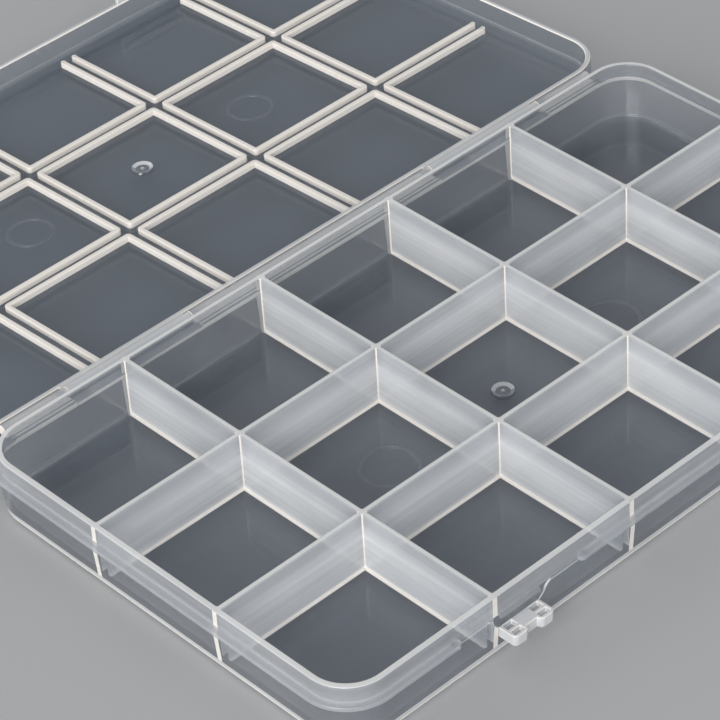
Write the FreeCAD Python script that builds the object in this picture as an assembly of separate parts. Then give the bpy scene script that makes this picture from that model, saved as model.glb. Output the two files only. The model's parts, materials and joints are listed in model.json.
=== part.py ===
"""Compartment storage box: a divided tray and a hinged, latching lid that lies open behind it.

Millimetres. +X runs along the hinge, +Y from the front to the hinge and +Z up. The origin is the
centre of the tray's underside. Lid pieces are drawn closed, then swung open to where the lid rests.
"""
import FreeCAD
import Part
import math
import os

from FreeCAD import Vector

# Compartments
COLUMNS = 5
ROWS = 3
CELL_LENGTH = 32.95         # clear length of a compartment at the rim, along X
CELL_WIDTH = 30.55          # clear width of a compartment at the rim, along Y
CELL_DEPTH = 12.2
DIVIDER = 1.1               # divider thickness at the rim
DIVIDER_DRAFT = 0.6         # degrees on each face
CAVITY_DRAFT = 1.2          # degrees on the tray's inside walls
INNER_CORNER = 7.4          # inside corner radius at the rim

# Tray wall, from the rim down
FLOOR = 1.6
LIP_WALL = 1.2
LIP_HEIGHT = 3.5            # rim to the top of the ledge
LEDGE_THICK = 0.9
SHOULDER = 0.35             # how far the lower wall stands proud of the lip
BASE_INSET = 0.3            # how far the wall's foot lies inside the lip
BASE_ROUND = 1.4
GATE_RADIUS = 2.3           # moulding gate mark in the middle compartment
GATE_HEIGHT = 0.45
GATE_TAPER = 0.5

# Lid
LID_GAP = 0.2               # lip to the inside of the skirt
SKIRT_WALL = 1.1
SEAT_GAP = 0.1              # ledge to the skirt's edge
HEADROOM = 0.95             # rim to the inside of the lid's plate
PLATE = 1.25
PLATE_ROUND = 1.0           # rounding round the top of the lid
RIB_WIDTH = 1.1
RIB_HEIGHT = 1.2
RIB_SIDE_GAP = 0.4          # divider face to the rib beside it
RIB_CORNER = 0.9
RIB_END_GAP = 3.9           # skirt to the free end of a rib, at the front and the sides
RIB_HINGE_GAP = 2.45        # skirt to the free end of a rib, at the hinge

# Hinge
HINGE_REACH = 3.3           # lip to the hinge axis
AXIS_LIFT = 0.2             # ledge top to the hinge axis
BARREL_RADIUS = 1.1
PIN_RADIUS = 0.55
PIN_CLEARANCE = 0.07        # radial running clearance of a pin in its socket
PIN_LENGTH = 2.0
SOCKET_SPARE = 0.3          # socket depth beyond the pin
HINGE_END_GAP = 0.25        # between neighbouring barrels
HINGE_INSET = 8.0           # end of the tray to the outermost barrel
END_HINGE_LENGTH = 15.0
LID_HINGE_LENGTH = 31.0

# Latch
LATCH_OFFSET = 11.425       # middle of the compartment beside the centre one to the middle of a latch
TAB_WIDTH = 20.0
TAB_WALL = 0.9
TAB_DROP = 3.6              # skirt's edge to the foot of the tab
TAB_CORNER = 1.2
WINDOW_WIDTH = 12.6
WINDOW_HEIGHT = 1.9
NOTCH_GAP = 4.5             # side of the tab to the end of the ledge
CATCH_WIDTH = 10.0
CATCH_HEIGHT = 1.3
CATCH_DEPTH = 0.8
CATCH_LAND = 0.3            # upright nose of the catch
CATCH_CLEARANCE = 0.2       # catch to the window's lower edge
PANEL_WIDTH = 12.0          # recessed panel at its top
PANEL_FLARE = 1.8
THUMB_CLEARANCE = 0.3       # foot of the tab to the thumb lip
THUMB_WIDTH = 9.8
THUMB_REACH = 4.0
THUMB_THICK = 2.2
LOBE_WIDTH = 3.5
LOBE_ROUND = 1.0
LOBE_SETBACK = 1.0          # middle of the thumb lip behind its lobes
POCKET_LENGTH = 1.2
POCKET_DEPTH = 1.0
POCKET_WALL = 0.6

COINCIDENT = 1e-6           # points nearer than this are one point

# Plan sizes, as half sizes from the centre
PITCH_X = CELL_LENGTH + DIVIDER
PITCH_Y = CELL_WIDTH + DIVIDER
INNER_X = (COLUMNS * PITCH_X - DIVIDER) / 2
INNER_Y = (ROWS * PITCH_Y - DIVIDER) / 2
OUTER_X = INNER_X + LIP_WALL
OUTER_Y = INNER_Y + LIP_WALL
OUTER_CORNER = INNER_CORNER + LIP_WALL
SKIRT_X = OUTER_X + LID_GAP
SKIRT_Y = OUTER_Y + LID_GAP
SKIRT_CORNER = OUTER_CORNER + LID_GAP
LID_X = SKIRT_X + SKIRT_WALL
LID_Y = SKIRT_Y + SKIRT_WALL
LID_CORNER = SKIRT_CORNER + SKIRT_WALL

# Heights, lid closed
RIM_Z = FLOOR + CELL_DEPTH
LEDGE_TOP = RIM_Z - LIP_HEIGHT
LEDGE_LOW = LEDGE_TOP - LEDGE_THICK
SKIRT_EDGE = LEDGE_TOP + SEAT_GAP
PLATE_LOW = RIM_Z + HEADROOM
LID_TOP = PLATE_LOW + PLATE
RIB_TIP = PLATE_LOW - RIB_HEIGHT
TAB_LOW = SKIRT_EDGE - TAB_DROP
WINDOW_LOW = SKIRT_EDGE - WINDOW_HEIGHT
CATCH_LOW = WINDOW_LOW + CATCH_CLEARANCE
THUMB_TOP = TAB_LOW - THUMB_CLEARANCE

# Hinge axis and latch places
AXIS_Y = OUTER_Y + HINGE_REACH
AXIS_Z = LEDGE_TOP + AXIS_LIFT
HINGE_END = OUTER_X - HINGE_INSET
LID_HINGE_END = HINGE_END - END_HINGE_LENGTH
LID_HINGE_START = LID_HINGE_END - LID_HINGE_LENGTH
LATCH_X = PITCH_X + LATCH_OFFSET

# Tray's hinge lengths along X: left, centre and right
HINGE_SPANS = ((-HINGE_END, -LID_HINGE_END), (-LID_HINGE_START, LID_HINGE_START), (LID_HINGE_END, HINGE_END))


def rest_tilt():
    """Degrees past flat at which the open lid's front edge meets the table."""
    reach = AXIS_Y + LID_Y - PLATE_ROUND
    depth = LID_TOP - AXIS_Z - PLATE_ROUND
    drop = AXIS_Z - PLATE_ROUND
    return math.degrees(math.asin(drop / math.hypot(reach, depth)) - math.atan2(depth, reach))


OPEN_ANGLE = 180 + rest_tilt()


def outline(x0, x1, y0, y1, radii, z):
    """Rectangle at height z with one radius for each corner, anticlockwise from (x0, y0)."""
    corners = ((x0, y0, 1, 1, 225), (x1, y0, -1, 1, 315), (x1, y1, -1, -1, 45), (x0, y1, 1, -1, 135))
    points = []
    arcs = []
    for (x, y, to_x, to_y, middle), radius in zip(corners, radii):
        if radius == 0:
            points.append((Vector(x, y, z), Vector(x, y, z)))
            arcs.append(None)
            continue
        centre = Vector(x + to_x * radius, y + to_y * radius, z)
        swing = [centre + radius * heading(middle + turn) for turn in (-45, 0, 45)]
        points.append((swing[0], swing[2]))
        arcs.append(Part.Arc(*swing).toShape())
    edges = []
    for index, arc in enumerate(arcs):
        if arc:
            edges.append(arc)
        leave = points[index][1]
        meet = points[(index + 1) % len(points)][0]
        if leave.distanceToPoint(meet) > COINCIDENT:
            edges.append(Part.LineSegment(leave, meet).toShape())
    return Part.Wire(edges)


def heading(degrees):
    """Unit vector in plan."""
    return Vector(math.cos(math.radians(degrees)), math.sin(math.radians(degrees)), 0)


def ring(half_x, half_y, radius, z):
    """Rounded rectangle about the centre."""
    return outline(-half_x, half_x, -half_y, half_y, (radius,) * 4, z)


def raised(wire, height):
    """Closed plan outline drawn up into a solid."""
    return Part.Face(wire).extrude(Vector(0, 0, height))


def block(x0, x1, y0, y1, z0, z1):
    """Plain box between two corners."""
    return Part.makeBox(x1 - x0, y1 - y0, z1 - z0, Vector(x0, y0, z0))


def profile(points, sweep):
    """Straight-sided section drawn along a vector."""
    return Part.Face(Part.makePolygon(points + points[:1])).extrude(sweep)


def rod(radius, x0, x1):
    """Cylinder on the hinge axis."""
    return Part.makeCylinder(radius, x1 - x0, Vector(x0, AXIS_Y, AXIS_Z), Vector(1, 0, 0))


def level_edges(shape, z):
    """Edges that lie wholly at one height."""
    return [edge for edge in shape.Edges if all(abs(v.Z - z) < COINCIDENT for v in edge.Vertexes)]


def opened(shape):
    """Swing a closed lid piece to the lid's open rest."""
    return shape.rotated(Vector(0, AXIS_Y, AXIS_Z), Vector(1, 0, 0), -OPEN_ANGLE)


# Tray
def envelope():
    """Outside of the tray: drafted lower wall with a rounded foot, and the upright lip above it."""
    foot = ring(OUTER_X - BASE_INSET, OUTER_Y - BASE_INSET, OUTER_CORNER - BASE_INSET, 0)
    top = ring(OUTER_X + SHOULDER, OUTER_Y + SHOULDER, OUTER_CORNER + SHOULDER, LEDGE_LOW)
    lower = Part.makeLoft([foot, top], True, True)
    lower = lower.makeFillet(BASE_ROUND, level_edges(lower, 0))
    return lower.fuse(lip_block(LEDGE_LOW, RIM_Z)).removeSplitter()


def lip_block(low, high):
    """Outside of the lip as a full block between two heights."""
    return raised(ring(OUTER_X, OUTER_Y, OUTER_CORNER, low), high - low)


def cavity():
    """Space inside the tray's walls, before the dividers."""
    inset = CELL_DEPTH * math.tan(math.radians(CAVITY_DRAFT))
    low = ring(INNER_X - inset, INNER_Y - inset, INNER_CORNER - inset, FLOOR)
    return Part.makeLoft([low, ring(INNER_X, INNER_Y, INNER_CORNER, RIM_Z)], True, True)


def latch_recess(centre):
    """Panel below the ledge that is set back flush with the lip, flared at its top corners."""
    half_low = THUMB_WIDTH / 2
    half_top = PANEL_WIDTH / 2
    bend = PANEL_FLARE * (1 - math.sqrt(0.5))
    face_y = -OUTER_Y

    def at(x, z):
        return Vector(centre + x, face_y, z)

    edges = [Part.LineSegment(at(-half_low, THUMB_TOP), at(half_low, THUMB_TOP)).toShape()]
    edges.append(Part.LineSegment(at(half_low, THUMB_TOP), at(half_top, LEDGE_LOW - PANEL_FLARE)).toShape())
    for side in (1, -1):
        turn = [at(side * half_top, LEDGE_LOW - PANEL_FLARE), at(side * (half_top + bend), LEDGE_LOW - bend),
                at(side * (half_top + PANEL_FLARE), LEDGE_LOW)]
        edges.append(Part.Arc(*turn).toShape())
    edges.append(Part.LineSegment(at(half_top + PANEL_FLARE, LEDGE_LOW),
                                  at(-half_top - PANEL_FLARE, LEDGE_LOW)).toShape())
    edges.append(Part.LineSegment(at(-half_top, LEDGE_LOW - PANEL_FLARE), at(-half_low, THUMB_TOP)).toShape())
    face = Part.Face(Part.Wire(Part.__sortEdges__(edges)))
    return face.extrude(Vector(0, -2 * SHOULDER, 0))


def gate_mark(base_z, up):
    """Low tapered button left by the mould's gate, standing on a face at base_z."""
    tip = GATE_RADIUS - GATE_TAPER
    return Part.makeCone(GATE_RADIUS, tip, GATE_HEIGHT, Vector(0, 0, base_z), Vector(0, 0, up))


def tray_shell():
    """Floor, outside walls and lip in one piece."""
    shell = envelope().cut(cavity())
    for side in (-1, 1):
        shell = shell.cut(latch_recess(side * LATCH_X))
    return shell.fuse(gate_mark(FLOOR, 1)).removeSplitter()


def divider_places(count, pitch):
    """Centres of the dividers between count compartments."""
    return [(index - count / 2) * pitch for index in range(1, count)]


def divider_foot():
    """Half thickness of a divider at the floor."""
    return DIVIDER / 2 + CELL_DEPTH * math.tan(math.radians(DIVIDER_DRAFT))


def cross_divider(x, space):
    """Divider from the front wall to the back wall."""
    half = DIVIDER / 2
    foot = divider_foot()
    section = [Vector(x - foot, -OUTER_Y, FLOOR), Vector(x + foot, -OUTER_Y, FLOOR),
               Vector(x + half, -OUTER_Y, RIM_Z), Vector(x - half, -OUTER_Y, RIM_Z)]
    return profile(section, Vector(0, 2 * OUTER_Y, 0)).common(space)


def long_divider(y, space, crossings):
    """Divider from end to end, in lengths that fit between the cross dividers."""
    half = DIVIDER / 2
    foot = divider_foot()
    section = [Vector(-OUTER_X, y - foot, FLOOR), Vector(-OUTER_X, y + foot, FLOOR),
               Vector(-OUTER_X, y + half, RIM_Z), Vector(-OUTER_X, y - half, RIM_Z)]
    run = profile(section, Vector(2 * OUTER_X, 0, 0)).common(space)
    return Part.makeCompound(run.cut(Part.makeCompound(crossings)).Solids)


def rim_ledges():
    """Ledge that the lid's skirt sits over, broken at the latches and at the tray's hinge lengths."""
    band = raised(ring(LID_X, LID_Y, LID_CORNER, LEDGE_LOW), LEDGE_THICK)
    band = band.cut(lip_block(LEDGE_LOW, LEDGE_TOP))
    half_notch = TAB_WIDTH / 2 + NOTCH_GAP
    for side in (-1, 1):
        middle = side * LATCH_X
        band = band.cut(block(middle - half_notch, middle + half_notch, -2 * LID_Y, 0, LEDGE_LOW, LEDGE_TOP))
    for start, end in HINGE_SPANS:
        band = band.cut(block(start, end, 0, 2 * LID_Y, LEDGE_LOW, LEDGE_TOP))
    return sorted(band.Solids, key=lambda solid: solid.CenterOfMass.x)


def tray_hinge(x0, x1, sockets):
    """Ledge carried out to the hinge axis, with a barrel and blind sockets that face the lid."""
    inside = OUTER_Y - OUTER_CORNER
    plate = block(x0, x1, inside, AXIS_Y, LEDGE_LOW, LEDGE_TOP).cut(lip_block(LEDGE_LOW, LEDGE_TOP))
    hinge = plate.fuse(rod(BARREL_RADIUS, x0, x1))
    depth = PIN_LENGTH + SOCKET_SPARE
    for mouth, inward in sockets:
        low, high = sorted((mouth, mouth + inward * depth))
        hinge = hinge.cut(rod(PIN_RADIUS + PIN_CLEARANCE, low, high))
    return hinge.removeSplitter()


def catch_ridge(centre):
    """Ramped ridge that the lid's tab snaps over."""
    nose_y = -OUTER_Y - CATCH_DEPTH
    start = centre - CATCH_WIDTH / 2
    section = [Vector(start, -OUTER_Y, CATCH_LOW),
               Vector(start, nose_y, CATCH_LOW),
               Vector(start, nose_y, CATCH_LOW + CATCH_LAND),
               Vector(start, -OUTER_Y, CATCH_LOW + CATCH_HEIGHT)]
    return profile(section, Vector(CATCH_WIDTH, 0, 0))


def thumb_lip(centre, shell):
    """Two-lobed lip below the latch that the thumb pushes against, cored from above."""
    low = THUMB_TOP - THUMB_THICK
    tip_y = -OUTER_Y - THUMB_REACH
    root_y = -OUTER_Y + LIP_WALL / 2
    half = THUMB_WIDTH / 2
    bridge = (centre - half, centre + half, tip_y + LOBE_SETBACK, root_y)
    lip = raised(outline(*bridge, (LOBE_ROUND, LOBE_ROUND, 0, 0), low), THUMB_THICK)
    for side in (-1, 1):
        middle = centre + side * (half - LOBE_WIDTH / 2)
        sides = (middle - LOBE_WIDTH / 2, middle + LOBE_WIDTH / 2, tip_y, root_y)
        lip = lip.fuse(raised(outline(*sides, (LOBE_ROUND, LOBE_ROUND, 0, 0), low), THUMB_THICK))
    for side in (-1, 1):
        middle = centre + side * (half - LOBE_WIDTH / 2)
        for step in (0, 1):
            front = tip_y + POCKET_WALL + step * (POCKET_LENGTH + POCKET_WALL)
            lip = lip.cut(block(middle - LOBE_WIDTH / 2 + POCKET_WALL, middle + LOBE_WIDTH / 2 - POCKET_WALL,
                                front, front + POCKET_LENGTH, THUMB_TOP - POCKET_DEPTH, THUMB_TOP))
    return lip.cut(shell).removeSplitter()


# Lid, drawn closed
def lid_panel():
    """Plate and skirt in one piece."""
    outside = raised(ring(LID_X, LID_Y, LID_CORNER, SKIRT_EDGE), LID_TOP - SKIRT_EDGE)
    outside = outside.makeFillet(PLATE_ROUND, level_edges(outside, LID_TOP))
    inside = raised(ring(SKIRT_X, SKIRT_Y, SKIRT_CORNER, SKIRT_EDGE), PLATE_LOW - SKIRT_EDGE)
    return outside.cut(inside).fuse(gate_mark(PLATE_LOW, -1)).removeSplitter()


def rib_span(index, count, pitch, first_end, last_end):
    """Where a rib frame starts and ends along one direction, and whether each end has a rib across it."""
    beside = DIVIDER / 2 + RIB_SIDE_GAP
    start_ribbed = index > 0
    end_ribbed = index < count - 1
    start = (index - count / 2) * pitch + beside if start_ribbed else -first_end
    end = (index + 1 - count / 2) * pitch - beside if end_ribbed else last_end
    return start, end, start_ribbed, end_ribbed


def rib_frame(column, row):
    """Ribs that border one compartment on the sides where it has dividers."""
    side_end = SKIRT_X - RIB_END_GAP
    x0, x1, left, right = rib_span(column, COLUMNS, PITCH_X, side_end, side_end)
    y0, y1, front, back = rib_span(row, ROWS, PITCH_Y, SKIRT_Y - RIB_END_GAP, SKIRT_Y - RIB_HINGE_GAP)
    full = RIB_WIDTH / 2
    bars = []
    for ribbed, low, high, at_back in ((front, y0, y0 + RIB_WIDTH, False), (back, y1 - RIB_WIDTH, y1, True)):
        if not ribbed:
            continue
        outer_left = RIB_CORNER if left else full
        outer_right = RIB_CORNER if right else full
        inner_left = 0 if left else full
        inner_right = 0 if right else full
        radii = (outer_left, outer_right, inner_right, inner_left)
        if at_back:
            radii = (inner_left, inner_right, outer_right, outer_left)
        bars.append(raised(outline(x0, x1, low, high, radii, RIB_TIP), RIB_HEIGHT))
    low = y0 + RIB_WIDTH if front else y0
    high = y1 - RIB_WIDTH if back else y1
    front_round = 0 if front else full
    back_round = 0 if back else full
    radii = (front_round, front_round, back_round, back_round)
    for ribbed, near, far in ((left, x0, x0 + RIB_WIDTH), (right, x1 - RIB_WIDTH, x1)):
        if ribbed:
            bars.append(raised(outline(near, far, low, high, radii, RIB_TIP), RIB_HEIGHT))
    return Part.makeCompound(bars)


def lid_hinge(side):
    """Flange from the skirt to the hinge axis, with a barrel and a pin at each end."""
    ends = sorted((side * LID_HINGE_START, side * LID_HINGE_END))
    x0 = ends[0] + HINGE_END_GAP
    x1 = ends[1] - HINGE_END_GAP
    plate = block(x0, x1, LID_Y, AXIS_Y, SKIRT_EDGE, SKIRT_EDGE + LEDGE_THICK)
    pin = rod(PIN_RADIUS, ends[0] - PIN_LENGTH, ends[1] + PIN_LENGTH)
    return plate.fuse(rod(BARREL_RADIUS, x0, x1)).fuse(pin).removeSplitter()


def latch_tab(centre):
    """Springy U that hangs from the skirt's edge and snaps over the catch."""
    half = TAB_WIDTH / 2
    half_window = WINDOW_WIDTH / 2
    face_y = -LID_Y
    tab = block(centre - half, centre + half, face_y, face_y + TAB_WALL, TAB_LOW, SKIRT_EDGE)
    feet = [edge for edge in level_edges(tab, TAB_LOW) if abs(edge.tangentAt(edge.FirstParameter).y) > 0.5]
    tab = tab.makeFillet(TAB_CORNER, feet)
    return tab.cut(block(centre - half_window, centre + half_window, face_y, face_y + TAB_WALL,
                         WINDOW_LOW, SKIRT_EDGE))


def tray_nodes():
    """All pieces of the tray, by name."""
    shell = tray_shell()
    space = cavity()
    nodes = {"tray_shell": shell}
    crossings = [cross_divider(x, space) for x in divider_places(COLUMNS, PITCH_X)]
    for number, crossing in enumerate(crossings, 1):
        nodes[f"cross_divider_{number}"] = crossing
    for name, y in zip(("front", "back"), divider_places(ROWS, PITCH_Y)):
        nodes[f"long_divider_{name}"] = long_divider(y, space, crossings)
    for name, ledge in zip(("left", "back_left", "front", "back_right", "right"), rim_ledges()):
        nodes[f"rim_ledge_{name}"] = ledge
    sockets = ([(-LID_HINGE_END, -1)], [(-LID_HINGE_START, 1), (LID_HINGE_START, -1)], [(LID_HINGE_END, 1)])
    for name, span, mouths in zip(("left", "centre", "right"), HINGE_SPANS, sockets):
        nodes[f"tray_hinge_{name}"] = tray_hinge(*span, mouths)
    for name, side in (("left", -1), ("right", 1)):
        nodes[f"catch_ridge_{name}"] = catch_ridge(side * LATCH_X)
        nodes[f"thumb_lip_{name}"] = thumb_lip(side * LATCH_X, shell)
    return nodes


def lid_nodes():
    """All pieces of the lid, by name, as drawn closed."""
    nodes = {"lid_panel": lid_panel()}
    for row, row_name in enumerate(("front", "middle", "back")):
        for column in range(COLUMNS):
            nodes[f"lid_rib_frame_{row_name}_{column + 1}"] = rib_frame(column, row)
    for name, side in (("left", -1), ("right", 1)):
        nodes[f"lid_hinge_{name}"] = lid_hinge(side)
        nodes[f"latch_tab_{name}"] = latch_tab(side * LATCH_X)
    return nodes


def main():
    """Build every piece and write it to its own file."""
    os.makedirs("parts", exist_ok=True)
    nodes = tray_nodes()
    nodes.update({name: opened(shape) for name, shape in lid_nodes().items()})
    for name, shape in nodes.items():
        shape.exportStep(f"parts/{name}.step")
    print(f"{len(nodes)} nodes, hinge axis y {AXIS_Y:.3f} z {AXIS_Z:.3f}, opens {OPEN_ANGLE:.3f} degrees")


main()
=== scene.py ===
"""Looks of a flat compartment box in translucent plastic, with its ribbed lid laid open behind it.

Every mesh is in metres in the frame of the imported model. Lid pieces are shaped closed and then swung to the
lid's open rest about the hinge.
"""
from __future__ import annotations

import json
import logging
import math
from dataclasses import dataclass
from enum import Enum
from typing import Callable, Iterable, Sequence

import bmesh
import bpy
from mathutils import Euler, Matrix, Vector

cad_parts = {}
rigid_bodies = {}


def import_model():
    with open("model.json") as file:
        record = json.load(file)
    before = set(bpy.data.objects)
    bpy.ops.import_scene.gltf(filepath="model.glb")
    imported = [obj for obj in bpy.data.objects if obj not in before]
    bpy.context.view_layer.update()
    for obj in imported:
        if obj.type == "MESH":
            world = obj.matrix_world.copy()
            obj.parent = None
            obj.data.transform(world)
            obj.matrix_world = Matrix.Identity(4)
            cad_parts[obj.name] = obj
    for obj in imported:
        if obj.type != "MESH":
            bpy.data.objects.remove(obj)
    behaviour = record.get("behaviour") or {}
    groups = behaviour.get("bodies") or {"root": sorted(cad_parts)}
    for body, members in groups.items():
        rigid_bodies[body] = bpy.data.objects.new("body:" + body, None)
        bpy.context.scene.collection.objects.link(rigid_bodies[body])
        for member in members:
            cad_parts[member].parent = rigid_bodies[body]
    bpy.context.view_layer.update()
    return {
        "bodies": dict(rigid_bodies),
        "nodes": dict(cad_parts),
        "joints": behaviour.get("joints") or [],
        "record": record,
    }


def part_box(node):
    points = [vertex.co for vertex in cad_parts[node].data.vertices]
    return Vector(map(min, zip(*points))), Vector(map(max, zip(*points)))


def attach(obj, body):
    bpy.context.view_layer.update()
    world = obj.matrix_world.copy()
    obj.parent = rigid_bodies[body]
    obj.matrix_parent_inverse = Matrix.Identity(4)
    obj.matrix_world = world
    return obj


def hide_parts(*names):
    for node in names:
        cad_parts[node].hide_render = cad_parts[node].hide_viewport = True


LOG = logging.getLogger("compartment_box")
MM = 0.001
Colour = tuple[float, float, float]
Span = tuple[float, float]
RibSpan = tuple[float, float, bool, bool]
Loop = list[bmesh.types.BMVert]


class Surface(Enum):
    """The ways the one plastic shows, each with its own finish and material slot."""

    CLEAR = 0
    WALL = 1
    DIVIDER = 2
    RIM = 3
    FROST = 4
    EDGE = 5
    LEDGE = 6
    PLATE = 7


Materials = dict[Surface, bpy.types.Material]


class Wiring:
    """Short way to fill a node tree: a node's settings, constants and links in one call."""

    def __init__(self, tree: bpy.types.NodeTree) -> None:
        """Work on one tree."""
        self.tree = tree

    def add(self, kind: str, inputs: dict | None = None, **settings: object) -> bpy.types.Node:
        """Add a node.

        Args:
            kind: Node type.
            inputs: Sockets to link and constants to set, by input name or number.
            settings: The node's own settings.

        Returns:
            The new node.
        """
        node = self.tree.nodes.new(kind)
        for name, value in settings.items():
            setattr(node, name, value)
        for key, value in (inputs or {}).items():
            if isinstance(value, bpy.types.NodeSocket):
                self.tree.links.new(value, node.inputs[key])
            else:
                node.inputs[key].default_value = value
        return node

    def math(self, operation: str, *values: object, clamp: bool = False) -> bpy.types.NodeSocket:
        """Add a math node and return its result."""
        node = self.add("ShaderNodeMath", dict(enumerate(values)), operation=operation, use_clamp=clamp)
        return node.outputs[0]


@dataclass(frozen=True)
class Finish:
    """Translucent plastic: clear film, a milky haze that varies with height and streaks, and surface gloss.

    Attributes:
        name: Material name.
        tint: Colour that each face lets through.
        milk: Colour of the haze where it is thin.
        glow: Colour of the haze where it is thick.
        haze: Share of haze at each of HAZE_AT.
        height: Height span in metres that HAZE_AT divides.
        streaks: How much the flow streaks change the haze.
        glow_through: Share of the haze that passes light on instead of sending it back.
        roughness: Roughness of the surface gloss.
        grain: Strength of the fine surface unevenness.
    """

    name: str
    tint: Colour
    milk: Colour
    glow: Colour
    haze: tuple[float, ...]
    height: Span
    streaks: float
    glow_through: float
    roughness: float
    grain: float

    HAZE_AT = (0.0, 0.2, 0.6, 0.88)
    MIRROR = 0.065
    MIRROR_POWER = 5.0
    ROUGH_SWING = 0.3
    STREAK_LENGTH = 18.0
    STREAK_PITCH = 850.0
    STREAK_DETAIL = 4.0
    STREAK_SPAN = (0.6, 1.4)
    CLOUD_SCALE = 45.0
    GRAIN_SCALE = 300.0
    GRAIN_DEPTH = 0.02 * MM

    def material(self) -> bpy.types.Material:
        """Build the node material.

        Returns:
            The new material.
        """
        material = bpy.data.materials.new(self.name)
        material.use_nodes = True
        material.node_tree.nodes.clear()
        wire = Wiring(material.node_tree)
        place = wire.add("ShaderNodeTexCoord").outputs["Object"]
        haze = self._haze(wire, place)
        colour = wire.add("ShaderNodeMix", {"Factor": haze, "A": (*self.milk, 1), "B": (*self.glow, 1)},
                          data_type="RGBA").outputs["Result"]
        grain = wire.add("ShaderNodeTexNoise", {"Vector": place, "Scale": self.GRAIN_SCALE}).outputs["Fac"]
        normal = wire.add("ShaderNodeBump", {"Height": grain, "Strength": self.grain,
                                             "Distance": self.GRAIN_DEPTH}).outputs["Normal"]
        clear = wire.add("ShaderNodeBsdfTransparent", {"Color": (*self.tint, 1)})
        front = wire.add("ShaderNodeBsdfDiffuse", {"Color": colour, "Normal": normal})
        through = wire.add("ShaderNodeBsdfTranslucent", {"Color": colour, "Normal": normal})
        milk = wire.add("ShaderNodeMixShader", {0: self.glow_through, 1: front.outputs[0],
                                                2: through.outputs[0]})
        body = wire.add("ShaderNodeMixShader", {0: haze, 1: clear.outputs[0], 2: milk.outputs[0]})
        rough = wire.add("ShaderNodeMapRange", {"Value": grain,
                                                "To Min": self.roughness * (1 - self.ROUGH_SWING),
                                                "To Max": self.roughness * (1 + self.ROUGH_SWING)}).outputs[0]
        gloss = wire.add("ShaderNodeBsdfGlossy", {"Roughness": rough, "Normal": normal})
        facing = wire.add("ShaderNodeLayerWeight", {"Normal": normal}).outputs["Facing"]
        glance = wire.math("POWER", facing, self.MIRROR_POWER)
        mirror = wire.math("MULTIPLY_ADD", glance, 1 - self.MIRROR, self.MIRROR)
        coated = wire.add("ShaderNodeMixShader", {0: mirror, 1: body.outputs[0], 2: gloss.outputs[0]})
        wire.add("ShaderNodeOutputMaterial", {"Surface": coated.outputs[0]})
        return material

    def _haze(self, wire: Wiring, place: bpy.types.NodeSocket) -> bpy.types.NodeSocket:
        """Share of haze from height, flow streaks and soft clouds.

        Args:
            wire: Material tree to add to.
            place: Object coordinates.

        Returns:
            A value socket between 0 and 1.
        """
        z = wire.add("ShaderNodeSeparateXYZ", {"Vector": place}).outputs["Z"]
        level = wire.add("ShaderNodeMapRange", {"Value": z, "From Min": self.height[0],
                                                "From Max": self.height[1]}).outputs[0]
        ramp = wire.add("ShaderNodeValToRGB", {"Fac": level})
        stops = ramp.color_ramp.elements
        ramp.color_ramp.interpolation = "EASE"
        stops.remove(stops[1])
        for place_at in self.HAZE_AT[1:]:
            stops.new(place_at)
        for stop, share in zip(stops, self.haze):
            stop.color = (share, share, share, 1)
        stretch = (self.STREAK_LENGTH, self.STREAK_LENGTH, self.STREAK_PITCH)
        along = wire.add("ShaderNodeMapping", {"Vector": place, "Scale": stretch}).outputs["Vector"]
        streak = wire.add("ShaderNodeTexNoise", {"Vector": along, "Scale": 1.0,
                                                 "Detail": self.STREAK_DETAIL}).outputs["Fac"]
        cloud = wire.add("ShaderNodeTexNoise", {"Vector": place, "Scale": self.CLOUD_SCALE}).outputs["Fac"]
        swing = wire.add("ShaderNodeMapRange", {"Value": wire.math("ADD", streak, cloud),
                                                "From Min": self.STREAK_SPAN[0],
                                                "From Max": self.STREAK_SPAN[1],
                                                "To Min": 1 - self.streaks,
                                                "To Max": 1 + self.streaks}).outputs[0]
        return wire.math("MULTIPLY", ramp.outputs["Color"], swing, clamp=True)


@dataclass(frozen=True)
class Hinge:
    """The lid's hinge: a line along X, and the angle between open and closed."""

    axis: Vector
    open_angle: float

    def to_open(self) -> Matrix:
        """Turn that carries a closed lid piece to the open rest."""
        turn = Matrix.Rotation(-self.open_angle, 4, "X")
        return Matrix.Translation(self.axis) @ turn @ Matrix.Translation(-self.axis)


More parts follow.
